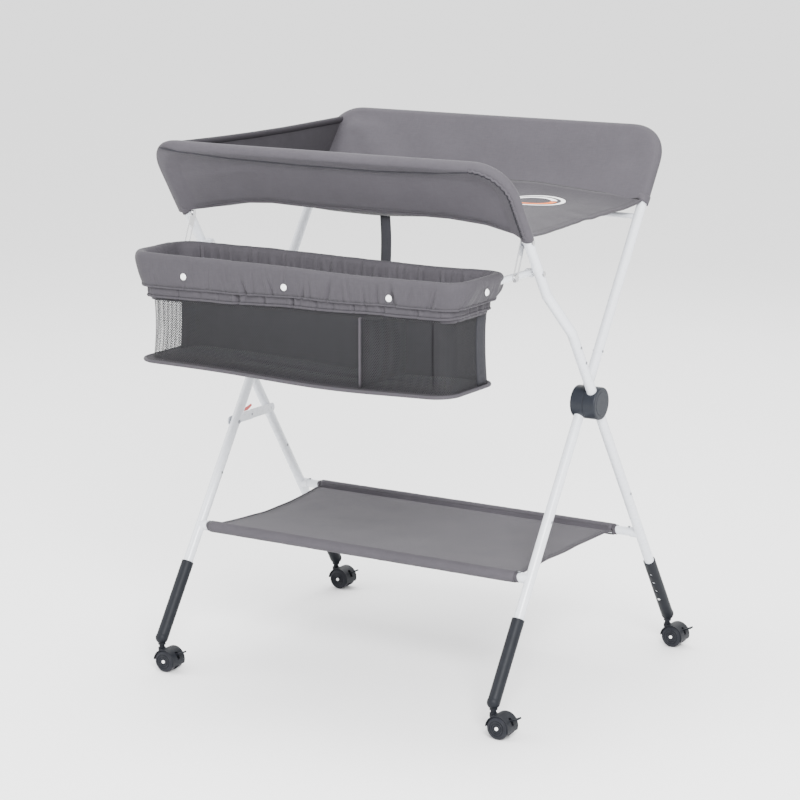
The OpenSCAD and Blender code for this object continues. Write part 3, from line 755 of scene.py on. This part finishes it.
shelf_parts = [shelf]
for end, u in (("left", 0.0), ("right", 1.0)):
    line = [shelf_top(u, j) for j in mid_row]
    shelf_parts.append(tube("shelf_binding_" + end, line, 0.0024, hem_fabric, sides=8))
    inner = [shelf_top(0.012 if u == 0 else 0.988, j) + Vector((0, 0, 0.0008)) for j in mid_row]
    shelf_parts.append(stitches("shelf_end_stitch_" + end, inner, lambda p: Vector((0, 0, 1)), thread))
for side, y in (("front", -SHELF_Y + 21), ("rear", SHELF_Y - 21)):
    for row in (0, 1):
        j = top_row(y + (3 if side == "front" else -3) * row)
        line = [verts[i * len(profile) + j]
                + Vector((0, (0.003 if side == "front" else -0.003) * row, 0.0011)) for i in range(n_x + 1)]
        shelf_parts.append(stitches("shelf_%s_stitch_%d" % (side, row), line, lambda p: Vector((0, 0, 1)),
                                    thread))
for o in shelf_parts:
    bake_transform(o)
# small tabs that tie the sleeves' ends to the rails
for side, y, body in (("front", -SHELF_Y, "rear_frame"), ("rear", SHELF_Y, "front_frame")):
    for end, x, d in (("left", -324, -1), ("right", 322, 1)):
        vs = []
        for i in range(17):
            a = 2 * math.pi * i / 16
            for q in (0, 1):
                r = 9.4 + 0.3 * math.sin(3 * a) - 0.9 * q
                vs.append(at(x + d * (-2 + 8 * q) + 1.0 * math.sin(2 * a), y + r * math.cos(a),
                             SHELF_Z + r * math.sin(a)))
        strap = make_mesh("shelf_tab_%s_%s" % (side, end), vs, grid_faces(17, 2), hem_fabric)
        thicken(strap, 0.0012)
        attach(strap, body)


# ---- basket ----
BX0, BX1, BY0, BY1 = -346.0, 340.0, -402.0, -238.0


def ring(n_long, n_short, n_corner, x0, x1, y0, y1, r):
    """Points (x, y, outward x, outward y) round a rectangle with round corners, seen from above.

    They start at the rear of the left end and run towards the front."""
    out = []
    segs = [((x0, y1 - r), (x0, y0 + r), n_short, (-1, 0)), ("c", (x0 + r, y0 + r), math.pi, 1),
            ((x0 + r, y0), (x1 - r, y0), n_long, (0, -1)), ("c", (x1 - r, y0 + r), 1.5 * math.pi, 1),
            ((x1, y0 + r), (x1, y1 - r), n_short, (1, 0)), ("c", (x1 - r, y1 - r), 0.0, 1),
            ((x1 - r, y1), (x0 + r, y1), n_long, (0, 1)), ("c", (x0 + r, y1 - r), 0.5 * math.pi, 1)]
    for sgm in segs:
        if sgm[0] == "c":
            c, a0 = sgm[1], sgm[2]
            for i in range(n_corner):
                a = a0 + math.pi / 2 * i / n_corner
                out.append((c[0] + r * math.cos(a), c[1] + r * math.sin(a), math.cos(a), math.sin(a)))
        else:
            p, q, n, nr = sgm
            for i in range(n):
                t = i / n
                out.append((p[0] + (q[0] - p[0]) * t, p[1] + (q[1] - p[1]) * t, nr[0], nr[1]))
    return out


N_LONG, N_SHORT, N_CORNER = 260, 40, 18


def outline(in_x, in_y, r):
    """The basket's outline, drawn in from its ends and from its front and rear."""
    return ring(N_LONG, N_SHORT, N_CORNER, BX0 + in_x, BX1 - in_x, BY0 + in_y, BY1 - in_y, r)


N_RING = 2 * (N_LONG + N_SHORT) + 4 * N_CORNER


def pleat_set(length, gap, seed):
    """Hand-gathered pleats along a strip: (position, half width, depth, slant, where it is deepest)."""
    out, d, i = [], 4.0, 0
    while d < length:
        q = [0.5 + 0.5 * math.sin(12.9898 * (i + seed) * (j + 1.7)) for j in range(5)]
        out.append((d, 2.2 + 3.2 * q[0], 1.2 + 2.6 * q[1] * q[1], (q[2] - 0.5) * 0.9, q[3]))
        d += gap * (0.45 + 1.1 * q[4])
        i += 1
    return out


def pleat_depth(pleats, d, h):
    """How far the pleats draw the cloth in at a distance d along and a share h of the way down."""
    total = 0.0
    for pos, half, depth, slant, deep in pleats:
        off = d - pos - slant * 40 * (h - 0.5)
        if abs(off) > 3 * half:
            continue
        fade = math.exp(-((h - deep) / 0.45) ** 2)
        total += depth * fade * (math.exp(-(off / half) ** 2)
                                 - 0.55 * math.exp(-((abs(off) - 1.6 * half) / half) ** 2))
    return total


def band_surface(name, rows, material, seed, pleat, hem_wave=0.0):
    """A gathered strip round the rim.

    rows: (inset at the ends, inset at the front and rear, height, pleat share)."""
    loops = [outline(ix, iy, max(8, 44 - ix * 0.6)) for ix, iy, z, g in rows]
    step = [0.0]
    for i in range(1, N_RING):
        a, b = loops[0][i - 1], loops[0][i]
        step.append(step[-1] + math.hypot(b[0] - a[0], b[1] - a[1]))
    pleats = pleat_set(step[-1], 17, seed)
    verts = []
    for i in range(N_RING):
        for j, ((ix, iy, z, g), loop) in enumerate(zip(rows, loops)):
            x, y, nx, ny = loop[i]
            d = step[i]
            if ny < -0.5:
                much = 0.35 + 0.65 * smoothstep(x, -260, -80) - 0.35 * smoothstep(x, 265, 320)
            else:
                much = 1.15 if ny > 0.5 else 0.5
            h = abs(j - 6) / 7 if len(rows) > 8 else 1.0
            draw = pleat_depth(pleats, d, min(1.0, h))
            soft = 1.5 * fold((d, z * 0.06, 4), 42, seed + 1)
            push = g * much * (soft - pleat * draw)
            lift = hem_wave * g * fold((d, 0, 2), 95, seed + 2)
            low = min(1.0, max(0.0, (790 - z) / 60))
            droop = 4.0 * math.exp(-((x - 150) / 170) ** 2) * (1.0 if abs(ny) > 0.5 else 0.3)
            rim_wave = 0.9 * fold((d, 0, 21), 40, seed) * (1.3 if ny > 0.5 else 0.8)
            hang = -9.0 + 15.0 * smoothstep(x, -330, 230)
            sag = 1.6 * fold((d, 0, 6), 160, seed + 3) * (1.0 if abs(ny) > 0.5 else 0.4)
            verts.append(at(x + nx * push, y + ny * push, z + lift - droop + rim_wave + (hang + sag) * low))
    o = make_mesh(name, verts, grid_faces(N_RING, len(rows), close_u=True), material)
    return o, verts


# the outer flap, folded over the rim, with the inner lining
flap_rows = [(31, 19, 712, 0.5), (30, 19, 735, 0.9), (28, 18.5, 760, 1.0), (26, 18, 775, 0.7),
             (23, 16.5, 783, 0.4), (16, 12, 788.5, 0.25), (8, 6, 789.5, 0.2),
             (2.5, 1.5, 787, 0.15), (0, -1, 780, 0.2), (1, -1, 772, 0.35), (5, 0.5, 762, 0.8),
             (9, 2, 752, 1.0), (14, 3.5, 744, 0.9), (17, 5, 738, 0.8)]
band, band_verts = band_surface("basket_band", flap_rows, band_fabric_painted_shade, 41, 1.9, hem_wave=2.5)
thicken(band, 0.0016, -1)
subdivide(band, 1)
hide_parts("basket_shell")
under_rows = [(27, 8.5, 756, 0.8), (27, 8.5, 744, 0.9), (27, 9, 735, 0.85), (27, 9.5, 727, 0.8),
              (28, 10, 721, 0.7)]
under, under_verts = band_surface("basket_under_band", under_rows, band_fabric_painted_shade, 41, 1.9, hem_wave=2.5)
thicken(under, 0.0016, -1)
rows_n = len(flap_rows)
hem_line = [band_verts[i * rows_n + rows_n - 1] for i in range(N_RING)]
under_line = [under_verts[i * len(under_rows) + len(under_rows) - 1] for i in range(N_RING)]
band_piping = tube("basket_band_piping", hem_line, 0.0019, hem_fabric, closed=True, sides=6)
under_piping = tube("basket_under_piping", under_line, 0.0023, hem_fabric, closed=True, sides=6)


def ring_out(p):
    c = at((BX0 + BX1) / 2, (BY0 + BY1) / 2, 0)
    d = Vector((0, p.y - c.y, 0)) if abs(p.x - c.x) < 0.29 else Vector((p.x - c.x, 0, 0))
    return d.normalized()


band_stitch = stitches("basket_band_stitch", [band_verts[i * rows_n + rows_n - 2].lerp(hem_line[i], 0.5)
                                              for i in range(N_RING)], ring_out, thread, lift=0.0006)

# the net, all round but the rear, on a narrower body than the rim; threads as a real lattice
LIP_IN_X0, LIP_IN_X1 = 24.0, 27.0
NET_HEIGHT = 124


def body_point(t, h):
    """A point on the basket's body: t round the outline, h from the floor at 0 to the band at 1."""
    waist = math.sin(math.pi * min(1, h * 0.92)) ** 0.9
    in_x0, in_y = 34 + 4 * waist, 13.5 + 2.0 * waist
    loop = body_loops(round(in_x0, 1), round(in_y, 1))
    f = (t % 1.0) * N_RING
    i = int(f) % N_RING
    a, b = loop[i], loop[(i + 1) % N_RING]
    q = f - int(f)
    x, y = a[0] + (b[0] - a[0]) * q, a[1] + (b[1] - a[1]) * q
    z0 = floor_height(x)
    top = 733 - 9 + 15 * smoothstep(x, -330, 230)
    return at(x, y, z0 + (top - z0) * h)


_loops = {}


def body_loops(ix, iy):
    if (ix, iy) not in _loops:
        _loops[ix, iy] = ring(N_LONG, N_SHORT, N_CORNER, BX0 + ix, BX1 - ix, BY0 + iy, BY1 - 6, 30)
    return _loops[ix, iy]


def floor_height(x):
    """The basket's floor hangs a little between its ends."""
    t = (x - BX0) / (BX1 - BX0)
    return 599 - 8 * math.exp(-((t - 0.62) / 0.26) ** 2)


def net(name, t0, t1, length, pitch, bar=0.66):
    """An open lattice of threads between t0 and t1 round the body."""
    nu = int(length / (pitch / 2))
    nv = int(NET_HEIGHT / (pitch / 2))
    nu -= nu % 2
    nv -= nv % 2
    verts, faces, at_corner = [], [], {}

    def corner(i, j):
        if (i, j) not in at_corner:
            at_corner[i, j] = len(verts)
            verts.append(body_point(t0 + (t1 - t0) * i / nu, j / nv))
        return at_corner[i, j]

    for i in range(1, nu):
        for j in range(1, nv):
            if (i + j) % 2:
                continue
            ring4 = [corner(i - 1, j), corner(i, j - 1), corner(i + 1, j), corner(i, j + 1)]
            c = body_point(t0 + (t1 - t0) * i / nu, j / nv)
            inner = []
            for q in ring4:
                inner.append(len(verts))
                verts.append(c.lerp(verts[q], bar))
            for q in range(4):
                faces.append((ring4[q], ring4[(q + 1) % 4], inner[(q + 1) % 4], inner[q]))
    return make_mesh(name, verts, faces, net_thread, smooth=False)


def share(i):
    return i / N_RING


T_FRONT_LEFT = share(N_SHORT + N_CORNER)
T_FRONT_RIGHT = share(N_SHORT + N_CORNER + N_LONG)
T_RIGHT_REAR = share(2 * N_SHORT + 2 * N_CORNER + N_LONG)
T_REAR_END = share(2 * N_SHORT + 4 * N_CORNER + 2 * N_LONG)
NET_PITCH = 4.4
NET_FRONT_LENGTH, NET_END_LENGTH = 560, 160
net_front = net("basket_net_front", T_FRONT_LEFT, T_FRONT_RIGHT, NET_FRONT_LENGTH, pitch=NET_PITCH)
net_right = net("basket_net_right", T_FRONT_RIGHT, T_RIGHT_REAR, NET_END_LENGTH, pitch=NET_PITCH)
net_left = net("basket_net_left", 0.0, T_FRONT_LEFT, NET_END_LENGTH, pitch=NET_PITCH)


def strip(name, ts, h0, h1, n_h, material, thickness=0.0012, seed=0, wrinkle=0.0):
    verts = []
    for t in ts:
        for j in range(n_h + 1):
            p = body_point(t, h0 + (h1 - h0) * j / n_h)
            if wrinkle:
                p = p + ring_out(p) * (wrinkle / 1000 * fold((t * 1700, j * 6, 0), 40, seed))
            verts.append(p)
    o = make_mesh(name, verts, grid_faces(len(ts), n_h + 1), material)
    return thicken(o, thickness)


rear_panel = strip("basket_rear_panel", [T_RIGHT_REAR + (T_REAR_END - T_RIGHT_REAR) * i / 120
                                         for i in range(121)], 0, 1, 14, fabric_dark, seed=61, wrinkle=3.0)
bind_right = strip("basket_binding_right", [T_RIGHT_REAR - 0.016 + 0.026 * i / 8 for i in range(9)], 0, 1,
                   14, binding, 0.0022)
bind_left = strip("basket_binding_left", [1.0 - 0.012 + 0.022 * i / 8 for i in range(9)], 0, 1, 14,
                  binding, 0.0022)

# the floor: a stiff board in fabric, with a piped lip all round
lip = ring(N_LONG, N_SHORT, N_CORNER, BX0 + LIP_IN_X0, BX1 - LIP_IN_X1, BY0 - 5.0, BY1 - 1, 40)
mid_x, mid_y = (BX0 + BX1) / 2, (BY0 + BY1) / 2
verts = []
for x, y, nx, ny in lip:
    for sh in (1.0, 0.97, 0.90, 0.7, 0.4, 0.0):
        along = mid_x + (x - mid_x) * (0.30 + 0.70 * sh)
        z = floor_height(along) - 0.5 + 1.2 * (1 - sh)
        verts.append(at(along if sh < 1 else x, mid_y + (y - mid_y) * sh, z))
board = make_mesh("basket_floor_board", verts, grid_faces(N_RING, 6, close_u=True), fabric_dark)
thicken(board, 0.003)
lip_piping = tube("basket_floor_piping", [at(x, y, floor_height(x) - 0.5) for x, y, nx, ny in lip], 0.0031,
                  hem_fabric, closed=True, sides=8)

# divider, with a grey binding down its front edge
div_lo, div_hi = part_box("basket_divider")
dx = ((div_lo.x + div_hi.x) / 2 - HUB.x) * 1000
verts = []
for i in range(31):
    for j in range(15):
        t, h = i / 30, j / 14
        y = -389 + 147 * t
        z = floor_height(dx) + 3 + h * (118 - 10 * math.sin(math.pi * t))
        verts.append(at(dx + 5 * math.sin(math.pi * t) * fold((y, z, 0), 70, 71) * 1.6, y, z))
divider = make_mesh("basket_divider_panel", verts, grid_faces(31, 15), fabric_dark)
thicken(divider, 0.0018)
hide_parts("basket_divider")
div_top = tube("basket_divider_binding", [verts[i * 15 + 14] for i in range(31)], 0.0022, hem_fabric,
               sides=6)
div_front = tube("basket_divider_front_binding", [verts[j] + Vector((0, -0.001, 0)) for j in range(15)],
                 0.0030, hem_fabric, sides=6, flat=0.7)

for o in (band, under, band_piping, under_piping, band_stitch, net_front, net_right, net_left, rear_panel,
          bind_right, bind_left, board, lip_piping, divider, div_top, div_front):
    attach(o, "basket")

# the strap that holds the basket's rear edge up under the tray
s_lo, s_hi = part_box("basket_strap")
sx0, sx1 = (s_lo.x - HUB.x) * 1000, (s_hi.x - HUB.x) * 1000
verts = []
for i in range(25):
    t = i / 24
    y = -212 + (-240 + 212) * t + 3 * math.sin(math.pi * t)
    z = 858 + (752 - 858) * t
    for q in range(5):
        verts.append(at(sx0 - 14 + (sx1 - sx0) * q / 4 + 18 * t, y + 0.8 * math.sin(q * 1.7 + 6 * t), z))
strap = make_mesh("basket_strap_webbing", verts, grid_faces(25, 5), binding)
thicken(strap, 0.0016)
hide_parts("basket_strap")
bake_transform(strap)


# ---- casters: stepped rings and a pale axle cap on each disc ----
def lathe(name, centre, axis, side, up, profile, material, n=28):
    """A turned piece: profile is (radius, height along the axis) pairs in millimetres."""
    verts = []
    for i in range(n):
        a = 2 * math.pi * i / n
        d = side * math.cos(a) + up * math.sin(a)
        for r, h in profile:
            verts.append(centre + d * (r / 1000) + axis * (h / 1000))
    return make_mesh(name, verts, grid_faces(n, len(profile), close_u=True), material)


for corner in ("front_left", "front_right", "rear_left", "rear_right"):
    wheel = nodes["caster_wheels_" + corner]
    roll = Vector(joints["wheel_roll_" + corner]["axis"]).normalized()
    centre = Vector(joints["wheel_roll_" + corner]["pos_m"])
    points = [(wheel.matrix_world @ v.co - centre).dot(roll) for v in wheel.data.vertices]
    up = Vector((0, 0, 1))
    across = roll.cross(up).normalized()
    for end, sign in (("a", 1), ("b", -1)):
        face = (max(points) if sign > 0 else -min(points)) * 1000
        for ring_name, r in (("outer", 15.0), ("middle", 11.0), ("inner", 7.0)):
            o = lathe("caster_ring_%s_%s_%s" % (ring_name, corner, end), centre, roll * sign, across, up,
                      [(r - 0.9, face - 0.4), (r - 0.5, face + 0.45), (r + 0.5, face + 0.45),
                       (r + 0.9, face - 0.4)], wheel_plastic)
            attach(o, "wheels_" + corner)
        cap = lathe("caster_cap_%s_%s" % (corner, end), centre, roll * sign, across, up,
                    [(3.2, face - 0.5), (3.2, face + 0.7), (2.4, face + 1.3), (1.2, face + 1.45),
                     (0.01, face + 1.5)], snap_white)
        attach(cap, "wheels_" + corner)


# ---- floor, light and closing lines ----
def area_light(name, location, aim, size, power):
    d = bpy.data.lights.new(name, "AREA")
    d.energy, d.size = power, size
    o = bpy.data.objects.new(name, d)
    bpy.context.scene.collection.objects.link(o)
    o.location = location
    o.rotation_euler = (Vector(aim) - Vector(location)).to_track_quat("-Z", "Y").to_euler()
    return o


ground = make_mesh("ground", [(-30, -30, -0.0006), (30, -30, -0.0006), (30, 30, -0.0006),
                              (-30, 30, -0.0006)], [(0, 1, 2, 3)],
                   solid_material("ground_white", (0.94, 0.94, 0.94), rough=0.6, vary=0.004, scale=2,
                                  grain=40, grain_strength=0.01))
world = bpy.data.worlds.new("studio")
bpy.context.scene.world = world
world.use_nodes = True
world.node_tree.nodes["Background"].inputs["Color"].default_value = (1.0, 1.0, 1.0, 1)
world.node_tree.nodes["Background"].inputs["Strength"].default_value = 2.0
area_light("key", (2.4, -2.9, 2.7), (0, 0, 0.6), 1.5, 400)
area_light("top_light", (-0.4, 0.3, 3.4), (0, 0, 0.7), 1.6, 90)
area_light("left_fill", (-3.2, -1.6, 1.9), (0, 0, 0.6), 2.0, 60)
area_light("back_rim", (-1.0, 3.2, 2.6), (0, 0, 0.7), 2.2, 45)
